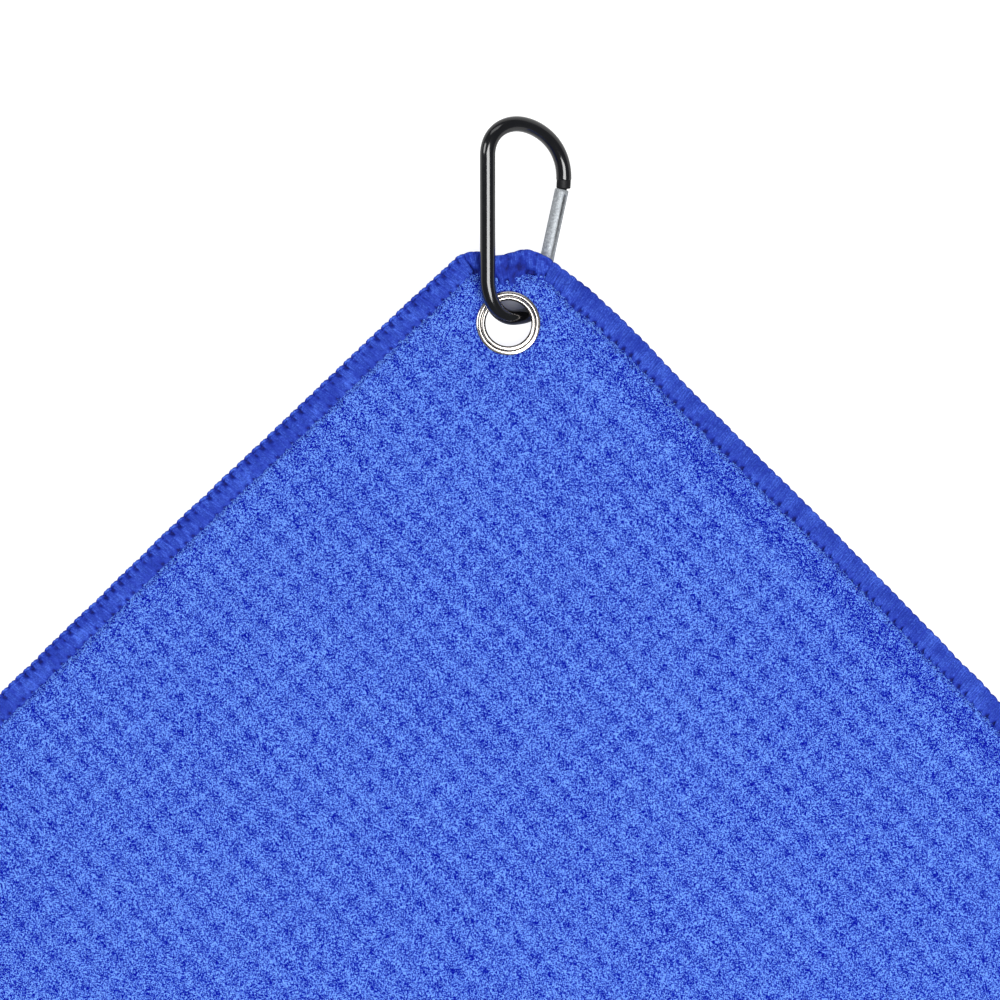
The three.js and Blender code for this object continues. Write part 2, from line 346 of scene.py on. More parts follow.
def waffle(right, left, inset):
    # 1 on the ridges and 0 in the dimples; the ridges that run along the right edge are the broad ones
    ridge = 0.5 + 0.5 * math.cos(2 * math.pi * (left - inset) / towel["cellAlongLeft"])
    rib = 0.5 + 0.5 * math.cos(2 * math.pi * (right - inset) / towel["cellAlongRight"])
    return 1 - (1 - ridge ** 0.75) * (1 - 0.85 * rib ** 1.2)


def gathered(x):
    # how much further in the gathered thread reaches, towards the eyelet
    return 2.7 * math.exp(-((x + 0.5) / 3.7) ** 4)


def crease(x, y):
    # a soft standing wave inside the right edge, fading towards both its ends
    inFromRight = (towel["apexToEyelet"] - y - x) / math.sqrt(2)
    along = (towel["apexToEyelet"] - y + x) / math.sqrt(2)
    drift = 1.5 * noise.noise(Vector((along * 0.02, 0, 7.0)))
    run = smooth(along, 30, 60) * (1 - smooth(along, 330, 390))
    return 0.45 * run * math.exp(-((inFromRight - 16.5 - drift) / 3.2) ** 2)


def creaseShade(x, y):
    # painted shade in a narrow band just outside the fold, and a little painted light in a band inside it
    inFromRight = (towel["apexToEyelet"] - y - x) / math.sqrt(2)
    along = (towel["apexToEyelet"] - y + x) / math.sqrt(2)
    drift = 0.7 * noise.noise(Vector((along * 0.03, 0, 9.0)))
    run = smooth(along, 25, 60) * (1 - smooth(along, 330, 390))
    return run * (0.9 * math.exp(-((inFromRight - 13.5 - drift) / 1.6) ** 2)
                  - 0.25 * math.exp(-((inFromRight - 17.5 - drift) / 2.2) ** 2))


def buildTerry():
    inset = towel["hemWidth"] - towel["tuckedUnderHem"]
    span = towel["side"] - 2 * inset
    lines = towel["linesPerCell"]
    cellsRight = round(span / towel["cellAlongRight"])
    cellsLeft = round(span / towel["cellAlongLeft"])
    towel["cellAlongRight"] = span / cellsRight
    towel["cellAlongLeft"] = span / cellsLeft
    nRight, nLeft = cellsRight * lines, cellsLeft * lines
    points, pile = [], []

    def put(i, j, side):
        right = inset + span * i / nRight
        left = inset + span * j / nLeft
        x, y = alongEdges(right, left)
        weave = waffle(right, left, inset)
        shadeByCrease = creaseShade(x, y)
        drift = noise.noise(Vector((x * 0.03, y * 0.03, 2.0 * side)))
        grip = smooth(math.hypot(x, y), 10, 13)
        nearHem = min(right, left, towel["side"] - right, towel["side"] - left,
                      (towel["apexToEyelet"] - y) - towel["cutBelowApex"] - gathered(x)) - towel["hemWidth"]
        squash = 0.45 * (1 - smooth(nearHem, -0.5, 2.2)) + 0.8 * (1 - smooth(nearHem, -2.4, -0.7))
        half = clothHalf(x, y)
        if side > 0:
            up = half + grip * (0.18 * drift - towel["dimple"] * (1 - weave) + 0.15) - squash * grip
        else:
            up = -half + grip * towel["dimpleBack"] * (1 - weave) + crease(x, y) * 0.6
        height = clothHeight(x, y) + up + (crease(x, y) if side > 0 else 0)
        if i in (0, nRight) or j in (0, nLeft):
            ragged = 1.1 * noise.noise(Vector((x * 0.7, y * 0.7, 4.0)))
            x += ragged * ((i == nRight) - (i == 0) + (j == 0) - (j == nLeft)) / math.sqrt(2)
            y += ragged * ((i == 0) - (i == nRight) + (j == 0) - (j == nLeft)) / math.sqrt(2)
        points.append((*settled(x, y), height))
        # painted shade for the colour: darker in the dimples and in a band by the crease
        pile.append(weave * grip + (1 - grip) * 0.5 - shadeByCrease)

    for i in range(nRight + 1):
        for j in range(nLeft + 1):
            put(i, j, 1)
    for i in range(0, nRight + 1, 2):
        for j in range(0, nLeft + 1, 2):
            put(i, j, -1)
    row = nLeft + 1
    backRow = nLeft // 2 + 1
    backStart = (nRight + 1) * row

    def top(i, j):
        return i * row + j

    def under(i, j):
        return backStart + (i // 2) * backRow + j // 2

    faces = [(top(i, j), top(i, j + 1), top(i + 1, j + 1), top(i + 1, j))
             for i in range(nRight) for j in range(nLeft)]
    faces += [(under(i, j), under(i + 2, j), under(i + 2, j + 2), under(i, j + 2))
              for i in range(0, nRight, 2) for j in range(0, nLeft, 2)]
    # the four rims, where two steps of the face meet one of the back
    for j in range(0, nLeft, 2):
        k = j + 2
        faces.append((top(0, j), under(0, j), under(0, k), top(0, k), top(0, j + 1)))
        faces.append((top(nRight, j + 1), top(nRight, k), under(nRight, k), under(nRight, j), top(nRight, j)))
    for i in range(0, nRight, 2):
        k = i + 2
        faces.append((top(i + 1, 0), top(k, 0), under(k, 0), under(i, 0), top(i, 0)))
        faces.append((top(i, nLeft), under(i, nLeft), under(k, nLeft), top(k, nLeft), top(i + 1, nLeft)))

    mesh = meshFrom("towel_terry", points, faces)
    addValues(mesh, "waffle", pile)
    work = bmesh.new()
    work.from_mesh(mesh)
    hole = towel["holeRadius"]
    inside = [f for f in work.faces if math.hypot(*f.calc_center_median()[:2]) < hole + 0.3]
    bmesh.ops.delete(work, geom=inside, context="FACES")
    rim = [e for e in work.edges if e.is_boundary]
    for vertex in {v for e in rim for v in e.verts}:
        scale = hole / math.hypot(vertex.co.x, vertex.co.y)
        vertex.co.x *= scale
        vertex.co.y *= scale
    bmesh.ops.bridge_loops(work, edges=rim)
    cutAt = towel["apexToEyelet"] - towel["cutBelowApex"] - inset
    bmesh.ops.bisect_plane(work, geom=work.verts[:] + work.edges[:] + work.faces[:], plane_co=(0, cutAt, 0),
                           plane_no=(0, 1, 0), clear_outer=True, dist=1e-5)
    bmesh.ops.contextual_create(work, geom=[e for e in work.edges if e.is_boundary])
    loose = [v for v in work.verts if not v.link_faces]
    bmesh.ops.delete(work, geom=loose, context="VERTS")
    work.transform(onCloth)
    bmesh.ops.recalc_face_normals(work, faces=work.faces)
    print("terry open edges:", sum(e.is_boundary for e in work.edges), "faces:", len(work.faces))
    work.to_mesh(mesh)
    work.free()
    return linkMesh("towel_terry", shadeSmooth(mesh), terryMaterial, "towel", ["towel_cloth"])


terry = buildTerry()
print("terry made")


# overlocked edge

hem = {
    "stitch": 3.06,
    "samplesPerStitch": 8,
    "half": 1.0,  # half the edging's thickness
    "slant": 0.9,  # how far a stitch leans along the edge over the hem's width
    "needlePit": 1.0,
    "rib": 0.05,
    "strands": 8,
    "threadRadius": 0.2,
    "purlRadius": 0.5,
}


def turned(vector, angle):
    c, s = math.cos(angle), math.sin(angle)
    return Vector((vector.x * c - vector.y * s, vector.x * s + vector.y * c))


def hemRoute(start, end, startTurn, endTurn, startRadius, endRadius):
    # half of each corner's arc with the straight between them; the cloth is on the left
    heading = (end - start).normalized()
    inwards = Vector((-heading.y, heading.x))
    cutStart = startRadius * math.tan(startTurn / 2)
    cutEnd = endRadius * math.tan(endTurn / 2)
    arcStart, arcEnd = startRadius * startTurn / 2, endRadius * endTurn / 2
    straight = (end - start).length - cutStart - cutEnd
    firstCentre = start + heading * cutStart + inwards * startRadius
    lastCentre = end - heading * cutEnd + inwards * endRadius

    def at(s):
        if s < arcStart:
            n = turned(inwards, -(arcStart - s) / startRadius)
            return firstCentre - n * startRadius, n
        if s > arcStart + straight:
            n = turned(inwards, (s - arcStart - straight) / endRadius)
            return lastCentre - n * endRadius, n
        return start + heading * (cutStart + s - arcStart), inwards

    return at, arcStart + straight + arcEnd


def edgeBump(phase):
    # 0 in the notch between two stitches and 1 on a stitch
    return abs(math.sin(math.pi * phase)) ** 0.75


def corners():
    cut = math.sqrt(2) * towel["cutBelowApex"]
    side = towel["side"]
    spots = {"cutRight": (cut, 0), "cutLeft": (0, cut),
             "left": (0, side), "foot": (side, side), "right": (side, 0)}
    return {name: Vector(alongEdges(*spot)) for name, spot in spots.items()}


def hemSurface(at, length, pitch, s, d, side, options):
    # a point of the edging: s along the outline and d in from it, on the face (1), back (-1) or outline (0)
    width = options["width"](s)
    phase = s / pitch + 0.5 * hem["slant"] * d / width
    spot, inwards = at(min(max(s, 0), length))
    notch = options["scallop"] * (1 - edgeBump(phase)) * max(0, 1 - d / 3.2)
    wander = 0.22 * noise.noise(Vector((s * 0.11, 3.0, options["seed"])))
    outer = max(0, 1 - d / width)
    spot = spot + inwards * (d + notch + wander * outer + options["dip"](s) * outer)
    x, y = spot
    roll = math.sqrt(max(0, 1 - (1 - min(d / 1.1, 1)) ** 2))
    inner = 1 - 0.5 * smooth(d, width - 1.1, width)
    ribbed = hem["rib"] * (edgeBump(phase) - 0.6) * (1 - smooth(d, width - 2.5, width - 0.8))
    height = side * hem["half"] * roll * inner
    # painted shade: pits and sunken folds are painted darker
    paintedShadeAndTone = 0.0  # 1 deep in a pit or fold, less than 0 on a crest
    if side > 0:
        height += ribbed * roll
        nearest = (phase - round(phase)) * pitch
        for line, depth, reach in options["pits"](width):
            stray = noise.noise(Vector((round(phase) * 1.7, line, options["seed"])))
            hit = math.exp(-((nearest - 0.5 * stray) / reach) ** 2 - ((d - line + 0.7 * stray) / reach) ** 2)
            hit *= min(1, 0.95 + 0.8 * stray)
            # each needle pit is sunk and also painted darker as shade
            height -= depth * hit
            paintedShadeAndTone = max(paintedShadeAndTone, hit)
        fold = options["pucker"](x, y)
        height += fold
        # a sunken fold is painted darker as shade
        paintedShadeAndTone = max(paintedShadeAndTone, min(1, -0.95 * fold), -0.7)
    return (*settled(x, y), clothHeight(x, y) + height), paintedShadeAndTone


def buildHem(name, route, options):
    at, length = route
    stitches = max(1, round(length / hem["stitch"]))
    pitch = length / stitches
    steps = stitches * hem["samplesPerStitch"]
    shares = [0, 0.016, 0.05, 0.11, 0.18, 0.26, 0.35, 0.46, 0.57, 0.67, 0.75, 0.81, 0.86, 0.9, 0.95, 1]
    backShares = [1, 0.7, 0.42, 0.18, 0.05]
    section = [(share, 1 if share else 0) for share in shares] + [(share, -1) for share in backShares]
    points, shadesAndTones, laidOut = [], [], []
    for k in range(steps + 1):
        s = length * k / steps
        for share, side in section:
            point, paintedShadeAndTone = hemSurface(at, length, pitch, s, share * options["width"](s), side, options)
            points.append(point)
            shadesAndTones.append(paintedShadeAndTone)
            d = share * options["width"](s)
            laidOut.append((s + 0.5 * hem["slant"] * d / towel["hemWidth"] * pitch, d))
    n = len(section)
    faces = [(k * n + i, k * n + (i + 1) % n, (k + 1) * n + (i + 1) % n, (k + 1) * n + i)
             for k in range(steps) for i in range(n)]
    faces += [tuple(range(n)), tuple(steps * n + i for i in range(n))[::-1]]
    mesh = meshFrom(name, points, faces, onCloth)
    addValues(mesh, "paintedShadeAndTone", shadesAndTones)
    mapped = mesh.uv_layers.new(name="alongEdge")
    for loop in mesh.loops:
        mapped.data[loop.index].uv = Vector(laidOut[loop.vertex_index]) * toMetres
    faceOutwards(mesh)
    linkMesh(name, mesh, threadMaterial, "towel", [options["node"]])
    return stitches, pitch


def plain(*spots):
    return 0.0


def needlePits(width):
    return [(width - 1.1, hem["needlePit"], 0.75)]


def purlPits(width):
    return [(width - 1.0, 0.6, 0.55), (1.5, 1.1, 0.72)]


def cornerPits(width):
    return [(width - 1.3, 0.9, 0.75)]


def hemWidth(s):
    return towel["hemWidth"]


def cornerWidth(s):
    return towel["hemWidth"] + gathered(towel["cutBelowApex"] - 0.5 - s)


def cornerDip(s):
    # the cut edge sags where the hook's back crosses it
    middle = towel["cutBelowApex"]
    return math.exp(-((s - middle - 3.4) / 3.2) ** 2) - 0.9 * math.exp(-((s - middle + 5.2) / 3.4) ** 2)


# the small folds where the thread is drawn together: middle x and y, direction, half length, half width, rise
cornerFolds = [
    (-12.0, 16.4, -0.8, 3.2, 0.8, -1.3),
    (3.4, 17.2, 0.9, 1.5, 0.8, -0.9),
    (6.2, 15.6, -0.5, 2.0, 0.8, -0.8),
    (1.6, 14.2, 1.3, 2.4, 0.6, -0.7),
    (8.8, 12.6, -0.75, 3.0, 0.9, -0.6),
    (-9.0, 19.4, 1.1, 2.2, 0.7, -0.5),
    (-1.0, 18.0, 1.45, 4.5, 2.2, -0.35),
    (11.5, 14.5, 0.6, 1.4, 0.8, -0.7),
]


def cornerPucker(x, y):
    total = 0.0
    for cx, cy, angle, long, across, depth in cornerFolds:
        u = (x - cx) * math.cos(angle) + (y - cy) * math.sin(angle)
        v = -(x - cx) * math.sin(angle) + (y - cy) * math.cos(angle)
        total += depth * math.exp(-(u / long) ** 2 - (v / across) ** 2)
    fluff = 0.75 * noise.noise(Vector((x * 0.85, y * 0.85, 8.0)))
    return total + fluff + 0.35 * noise.noise(Vector((x * 0.4, y * 0.4, 5.0)))


def hemPieces():
    at = corners()
    quarter, eighth = math.pi / 2, math.pi / 4
    big, cutRight, cutLeft = towel["cornerRadius"], towel["cutRightRadius"], towel["cutLeftRadius"]
    runs = {
        "corner": ("cutRight", "cutLeft", eighth, eighth, cutRight, cutLeft),
        "upper_left": ("cutLeft", "left", eighth, quarter, cutLeft, big),
        "lower_left": ("left", "foot", quarter, quarter, big, big),
        "lower_right": ("foot", "right", quarter, quarter, big, big),
        "upper_right": ("right", "cutRight", quarter, eighth, big, cutRight),
    }
    return {name: hemRoute(at[a], at[b], *rest) for name, (a, b, *rest) in runs.items()}


def edgeStyle(seed, scallop=0.42, pits=needlePits, width=hemWidth, pucker=plain, dip=plain):
    return {"seed": seed, "scallop": scallop, "pits": pits, "width": width, "pucker": pucker, "dip": dip}


hemStyles = {
    "corner": edgeStyle(11.0, 0.14, cornerPits, cornerWidth, cornerPucker, cornerDip),
    "upper_left": edgeStyle(12.0, 0.5, purlPits),
    "lower_left": edgeStyle(13.0),
    "lower_right": edgeStyle(14.0),
    "upper_right": edgeStyle(15.0),
}
hemRoutes = hemPieces()
for hemName, hemStyle in hemStyles.items():
    hemStyle["node"] = "overlock_hem_" + hemName
    hemStyle["stitches"], hemStyle["pitch"] = buildHem("hem_band_" + hemName, hemRoutes[hemName], hemStyle)
print("hem bands made")


# eyelet

eyelet = {
    "bore": 6.9,
    "flange": 9.6,
    "wall": 0.35,
    "sides": 128,
}
atEyelet = Matrix.Translation(eyeletCentre) @ Matrix.Scale(toMetres, 4)


def rounded(points, turns=3):
    # a closed outline with its corners cut again and again, which rounds them
    for _ in range(turns):
        cut = []
        for (ax, ay), (bx, by) in zip(points, points[1:] + points[:1]):
            cut.append((0.78 * ax + 0.22 * bx, 0.78 * ay + 0.22 * by))
            cut.append((0.22 * ax + 0.78 * bx, 0.22 * ay + 0.78 * by))
        points = cut
    return points


def turnedRing(name, outline, sides, place):
    points = [(r * math.cos(2 * math.pi * k / sides), r * math.sin(2 * math.pi * k / sides), z)
              for k in range(sides) for r, z in outline]
    n = len(outline)
    faces = [(k * n + i, ((k + 1) % sides) * n + i, ((k + 1) % sides) * n + (i + 1) % n, k * n + (i + 1) % n)
             for k in range(sides) for i in range(n)]
    return faceOutwards(meshFrom(name, points, faces, place))


def buildEyelet():
    bore, flange, outer = eyelet["bore"], eyelet["flange"], eyelet["bore"] + eyelet["wall"]
    barrel = [(7.5, -1.3), (flange - 0.1, -1.3), (flange, -0.8), (outer, -0.75), (outer, 1.15), (8.22, 1.15),
              (8.25, 1.66), (7.3, 1.85), (bore, 1.2), (bore - 0.05, 0.6), (bore, -0.85)]
    washer = [(outer + 0.3, 0.72), (flange, 0.72), (flange + 0.02, 1.25), (8.5, 1.56), (8.38, 0.98),
              (outer + 0.3, 0.98)]
    for name, outline, node in (("eyelet_barrel_rolled", barrel, "eyelet_barrel"),
                                ("eyelet_washer_domed", washer, "eyelet_washer")):
        mesh = turnedRing(name, rounded(outline), eyelet["sides"], atEyelet)
        eyeletShadeLayer = mesh.attributes.new("paintedShadeAndTone", "FLOAT", "POINT")
        for vertex, value in zip(mesh.vertices, eyeletShadeLayer.data):
            r = math.hypot(vertex.co.x - eyeletCentre.x, vertex.co.y - eyeletCentre.y) / toMetres
            z = (vertex.co.z - eyeletCentre.z) / toMetres
            # painted shade, strongest in the bore, less in the groove and least at the outer rim
            inBore = 1 - smooth(r, 7.0, 7.22)
            inGroove = smooth(r, 8.1, 8.24) * (1 - smooth(r, 8.4, 8.5)) * (1 - smooth(z, 1.2, 1.55))
            atRim = smooth(r, 9.45, 9.62)
            value.value = max(inBore, 0.6 * inGroove, 0.4 * atRim)
        linkMesh(name, mesh, nickelMaterial, "towel", [node])


buildEyelet()
print("eyelet made")


# snap hook

hook = {
    "rod": 2.3,
    "pivot": (18.7, 2.8),
    "gateRun": (10.2, 36.5),
    "gateRadius": 2.1,
    "gateFoot": -1.3,
    "gateTop": 35.8,
    "fork": 0.85,
    "latchAt": 33.7,
    "tongue": 0.5,
    "sides": 32,
    "nose": 2.7,
    "headFork": 0.66,
}


def hookFrames():
    # the hook's plane from its joints: u from the straight back and v up from the bottom bend
    across = Vector(joints["gate_swing"]["axis"]).normalized()
    gateUp = Vector(joints["plunger_slide"]["axis"]).normalized()
    gateOut = gateUp.cross(across)
    lean = -math.atan2(*hook["gateRun"])
    u = gateOut * math.cos(lean) - gateUp * math.sin(lean)
    v = gateOut * math.sin(lean) + gateUp * math.cos(lean)
    pivot = Vector(joints["gate_swing"]["pos_m"])
    origin = pivot - (u * hook["pivot"][0] + v * hook["pivot"][1]) * toMetres

    def frameOf(centre, *axes):
        turn = Matrix([[axis[i] for axis in axes] for i in range(3)]).to_4x4()
        return Matrix.Translation(centre) @ turn @ Matrix.Scale(toMetres, 4)

    return frameOf(origin, u, v, across), frameOf(pivot, gateOut, gateUp, across)


inHook, inGate = hookFrames()


def bezier(p0, p1, p2, p3, count):
    spots = []
    for k in range(count):
        t = (k + 1) / count
        spots.append(tuple((1 - t) ** 3 * a + 3 * (1 - t) ** 2 * t * b + 3 * (1 - t) * t * t * c + t ** 3 * d
                           for a, b, c, d in zip(p0, p1, p2, p3)))
    return spots


def hookRoute():
    route = [(28.91, 37.6), (29.05, 40.0)]
    route += bezier((29.05, 40), (29.6, 51.8), (17.5, 58.2), (10.1, 58.2), 44)
    route += bezier((10.1, 58.2), (4.2, 58.2), (0, 55), (0, 49.5), 24)
    route += [(0, 49.5 - 37.5 * (k + 1) / 36) for k in range(36)]
    route += bezier((0, 12), (0, 6), (4, 0), (10.5, 0), 26)
    route += bezier((10.5, 0), (12.8, 0), (14.9, 0), (16.6, 0.95), 10)
    return [Vector(p) for p in route]


def sweepRod(route, radius, sides, endProfile):
    # a round rod along a flat route; endProfile has (distance from an end, share of the radius, flatness)
    lengths = [0.0]
    for a, b in zip(route, route[1:]):
        lengths.append(lengths[-1] + (b - a).length)
    total = lengths[-1]
    stations = sorted({*[round(x, 4) for x in lengths], *[round(e[0], 4) for e in endProfile],
                       *[round(total - e[0], 4) for e in endProfile]})
    stations = [s for s in stations if 0 <= s <= total]

    def place(s):
        k = max(i for i in range(len(lengths) - 1) if lengths[i] <= s + 1e-9)
        t = (s - lengths[k]) / (lengths[k + 1] - lengths[k])
        spot = route[k].lerp(route[k + 1], min(t, 1))
        before, after = route[max(k - 1, 0)], route[min(k + 2, len(route) - 1)]
        arriving, leaving = (route[k + 1] - before).normalized(), (after - route[k]).normalized()
        return spot, arriving.lerp(leaving, min(t, 1)).normalized()

    def shape(s):
        gone = min(s, total - s)
        for (a, shareA, flatA), (b, shareB, flatB) in zip(endProfile, endProfile[1:]):
            if a <= gone <= b:
                t = (gone - a) / (b - a) if b > a else 0
                return shareA + (shareB - shareA) * t, flatA + (flatB - flatA) * t
        return endProfile[-1][1], endProfile[-1][2]

    points, faces = [], []
    for s in stations:
        spot, heading = place(s)
        normal = Vector((-heading.y, heading.x))
        share, flat = shape(s)
        for i in range(sides):
            a = 2 * math.pi * i / sides
            side, up = radius * share * math.cos(a), radius * share * flat * math.sin(a)
            points.append((spot.x + normal.x * side, spot.y + normal.y * side, up))
    for k in range(len(stations) - 1):
        for i in range(sides):
            j = (i + 1) % sides
            faces.append((k * sides + i, k * sides + j, (k + 1) * sides + j, (k + 1) * sides + i))
    faces.append(tuple(range(sides))[::-1])
    faces.append(tuple((len(stations) - 1) * sides + i for i in range(sides)))
    return points, faces


def plate(outline, half, bevel, place):
    # a flat plate cut from sheet, its edges eased
    work = bmesh.new()
    lower = [work.verts.new((x, y, -half)) for x, y in outline]
    face = work.faces.new(lower)
    grown = bmesh.ops.extrude_face_region(work, geom=[face])["geom"]
    raised = [g for g in grown if isinstance(g, bmesh.types.BMVert)]
    bmesh.ops.translate(work, vec=(0, 0, 2 * half), verts=raised)
    sharp = [e for e in work.edges if abs(e.verts[0].co.z - e.verts[1].co.z) < 1e-6]
    bmesh.ops.bevel(work, geom=sharp, offset=bevel, segments=2, affect="EDGES")
    bmesh.ops.recalc_face_normals(work, faces=work.faces)
    work.transform(place)
    return work


def capsuleOutline(a, b, radius, count=14):
    angle = math.atan2(b.y - a.y, b.x - a.x)
    turn = [angle - math.pi / 2 + math.pi * k / count for k in range(count + 1)]
    ahead = [(b.x + radius * math.cos(t), b.y + radius * math.sin(t)) for t in turn]
    behind = [(a.x - radius * math.cos(t), a.y - radius * math.sin(t)) for t in turn]
    return ahead + behind


def booleanMesh(base, cutters, operation):
    # base and cutters are meshes; the cutters are used up
    target = addObject("cutTarget", base)
    helpers = [addObject("cutTool", cutter) for cutter in cutters]
    for helper in helpers:
        modifier = target.modifiers.new("cut", "BOOLEAN")
        modifier.operation = operation
        modifier.solver = "EXACT"
        modifier.object = helper
    graph = bpy.context.evaluated_depsgraph_get()
    made = bpy.data.meshes.new_from_object(target.evaluated_get(graph))
    for helper in [target] + helpers:
        bpy.data.objects.remove(helper)
    return made


def toMesh(work, name):
    mesh = bpy.data.meshes.new(name)
    work.to_mesh(mesh)
    work.free()
    return mesh


def lathe(name, outline, sides, place):
    # an outline of (radius, height) that starts and ends on the axis, turned about local Z
    points = [(0, 0, outline[0][1])]
    ring = outline[1:-1]
    for r, z in ring:
        points += [(r * math.cos(2 * math.pi * k / sides), r * math.sin(2 * math.pi * k / sides), z)
                   for k in range(sides)]
    points.append((0, 0, outline[-1][1]))
    faces = []
    for k in range(sides):
        j = (k + 1) % sides
        faces.append((0, 1 + j, 1 + k))
        for i in range(len(ring) - 1):
            a, b = 1 + i * sides, 1 + (i + 1) * sides
            faces.append((a + k, a + j, b + j, b + k))
        last = 1 + (len(ring) - 1) * sides
        faces.append((last + k, last + j, len(points) - 1))
    return faceOutwards(meshFrom(name, points, faces, place))


def boxMesh(name, low, high, place):
    work = bmesh.new()
    bmesh.ops.create_cube(work, size=1)
    middle = [(a + b) / 2 for a, b in zip(low, high)]
    size = [b - a for a, b in zip(low, high)]
    work.transform(place @ Matrix.Translation(middle) @ Matrix.Diagonal((*size, 1)))
    return toMesh(work, name)


def rodMesh(name, radius, low, high, sides, place):
    return lathe(name, [(0, low), (radius, low), (radius, high), (0, high)], sides, place)


# local Z along the gate, and local Z across it
alongGate = inGate @ Matrix.Rotation(-math.pi / 2, 4, "X")


def acrossGate(at):
    return inGate @ Matrix.Translation((0, at, 0))


def shadeByAngle(mesh, degrees):
    shadeSmooth(mesh)
    mesh.set_sharp_from_angle(angle=math.radians(degrees))
    return mesh


def splitRoute(route, at):
    # the first stretch of a route, and the rest of it
    gone = 0.0
    for k, (a, b) in enumerate(zip(route, route[1:])):
        step = (b - a).length
        if gone + step > at:
            cut = a.lerp(b, (at - gone) / step)
            return route[:k + 1] + [cut], [cut] + route[k + 1:]
        gone += step


def buildHookBody():
    nosePart, rodPart = splitRoute(hookRoute(), hook["nose"])
    ends = [(0.0, 0.985, 1.0), (0.05, 1.0, 1.0)]
    points, faces = sweepRod(rodPart, hook["rod"], hook["sides"], ends)
    rod = faceOutwards(meshFrom("hook_rod", points, faces, inHook))
    # the nose is pressed a little flat and left matt
    pressed = [(0.0, 0.86, 0.9), (0.15, 0.94, 0.9), (0.35, 0.97, 0.9)]
    points, faces = sweepRod(nosePart + [nosePart[-1] + (rodPart[1] - rodPart[0]).normalized() * 0.3],
                             hook["rod"], hook["sides"], pressed)
    noseRod = faceOutwards(meshFrom("nose_rod", points, faces, inHook))
    pivot = Vector(hook["pivot"])
    eye = toMesh(plate(capsuleOutline(Vector((15.6, 0.9)), pivot, 1.7), hook["tongue"], 0.1, inHook), "eye")
    eyeHole = rodMesh("eyeHole", 1.05, -3, 3, 32, acrossGate(0))
    eye = booleanMesh(eye, [eyeHole], "DIFFERENCE")
    latch, top = hook["latchAt"], hook["gateTop"]
    # a flat tongue with a slot for the latch pin, open on its inner side
    catch = [(-1.5, latch - 1.45), (-1.2, latch - 1.7), (1.2, latch - 1.7), (1.5, latch - 1.4),
             (1.5, top + 2), (-1.5, top + 2), (-1.5, latch + 0.8), (0.4, latch + 0.8)]
    catch += [(0.1 + 0.8 * math.cos(a), latch + 0.8 * math.sin(a)) for a in (0.9, 0.45, 0, -0.45, -0.9)]
    catch += [(0.4, latch - 0.8), (-1.5, latch - 0.8)]
    nose = toMesh(plate(catch, hook["tongue"], 0.08, inGate), "nose")
    body = shadeByAngle(booleanMesh(rod, [eye], "UNION"), 38)
    linkMesh("hook_body_rod", body, blackMaterial, "carabiner", ["carabiner_body"])
    tip = shadeByAngle(booleanMesh(noseRod, [nose], "UNION"), 38)
    linkMesh("hook_nose_pressed", tip, mattBlackMaterial, "carabiner")


def buildGate():
    radius, foot, top, latch = hook["gateRadius"], hook["gateFoot"], hook["gateTop"], hook["latchAt"]
    ease = 0.25
    outline = [(0, foot), (radius - ease, foot), (radius - 0.08, foot + 0.08), (radius, foot + ease),
               (radius, foot + 1), (radius, top - 1), (radius, top - ease), (radius - 0.08, top - 0.08),
               (radius - ease, top), (0, top)]
    bar = lathe("gate", outline, 48, alongGate)
    cuts = [
        boxMesh("footFork", (-3, foot - 2, -hook["fork"]), (3, 3.4, hook["fork"]), inGate),
        boxMesh("headFork", (-1.62, latch - 2.0, -hook["headFork"]), (3, top + 2, hook["headFork"]), inGate),
        rodMesh("bore", 0.95, 3, 22, 32, alongGate),
        rodMesh("rivetHole", 1.05, -4, 4, 32, acrossGate(0)),
        rodMesh("pinHole", 0.47, -4, 4, 32, acrossGate(latch)),
    ]
    made = shadeByAngle(booleanMesh(bar, cuts, "DIFFERENCE"), 35)
    linkMesh("gate_bar", made, gateMaterial, "gate", ["carabiner_gate"])


def buildPins():
    # outlines as (radius, distance along the pin)
    rivet = [(0, -2.32), (0.75, -2.28), (1.25, -2.12), (1.3, -1.98), (0.8, -1.9), (0.75, -1.8),
             (0.75, 1.8), (0.8, 1.9), (1.3, 1.98), (1.25, 2.12), (0.75, 2.28), (0, 2.32)]
    pin = [(0, -2.02), (0.3, -2.0), (0.45, -1.85), (0.45, 1.85), (0.3, 2.0), (0, 2.02)]
    plunger = [(0, 2.0), (0.35, 2.03), (0.52, 2.2), (0.6, 2.5), (0.6, 5.25), (0.5, 5.4), (0, 5.4)]
    for name, outline, sides, place, body, node in (
            ("gate_rivet_headed", rivet, 32, acrossGate(0), "gate", "gate_pivot_rivet"),
            ("latch_pin_round", pin, 24, acrossGate(hook["latchAt"]), "gate", "gate_latch_pin"),
            ("plunger_round", plunger, 24, alongGate, "plunger", "gate_plunger")):
        mesh = shadeByAngle(lathe(name, outline, sides, place), 50)
        linkMesh(name, mesh, steelMaterial, body, [node])


buildHookBody()
buildGate()
buildPins()
print("hook made")


# repeated pieces by geometry nodes

def newTree(name, sockets):
    tree = bpy.data.node_groups.new(name, "GeometryNodeTree")
    tree.interface.new_socket(name="Geometry", in_out="INPUT", socket_type="NodeSocketGeometry")
    tree.interface.new_socket(name="Geometry", in_out="OUTPUT", socket_type="NodeSocketGeometry")
    for socketName, kind in sockets:
        tree.interface.new_socket(name=socketName, in_out="INPUT", socket_type=kind)
    return tree, tree.nodes.new("NodeGroupInput"), tree.nodes.new("NodeGroupOutput")


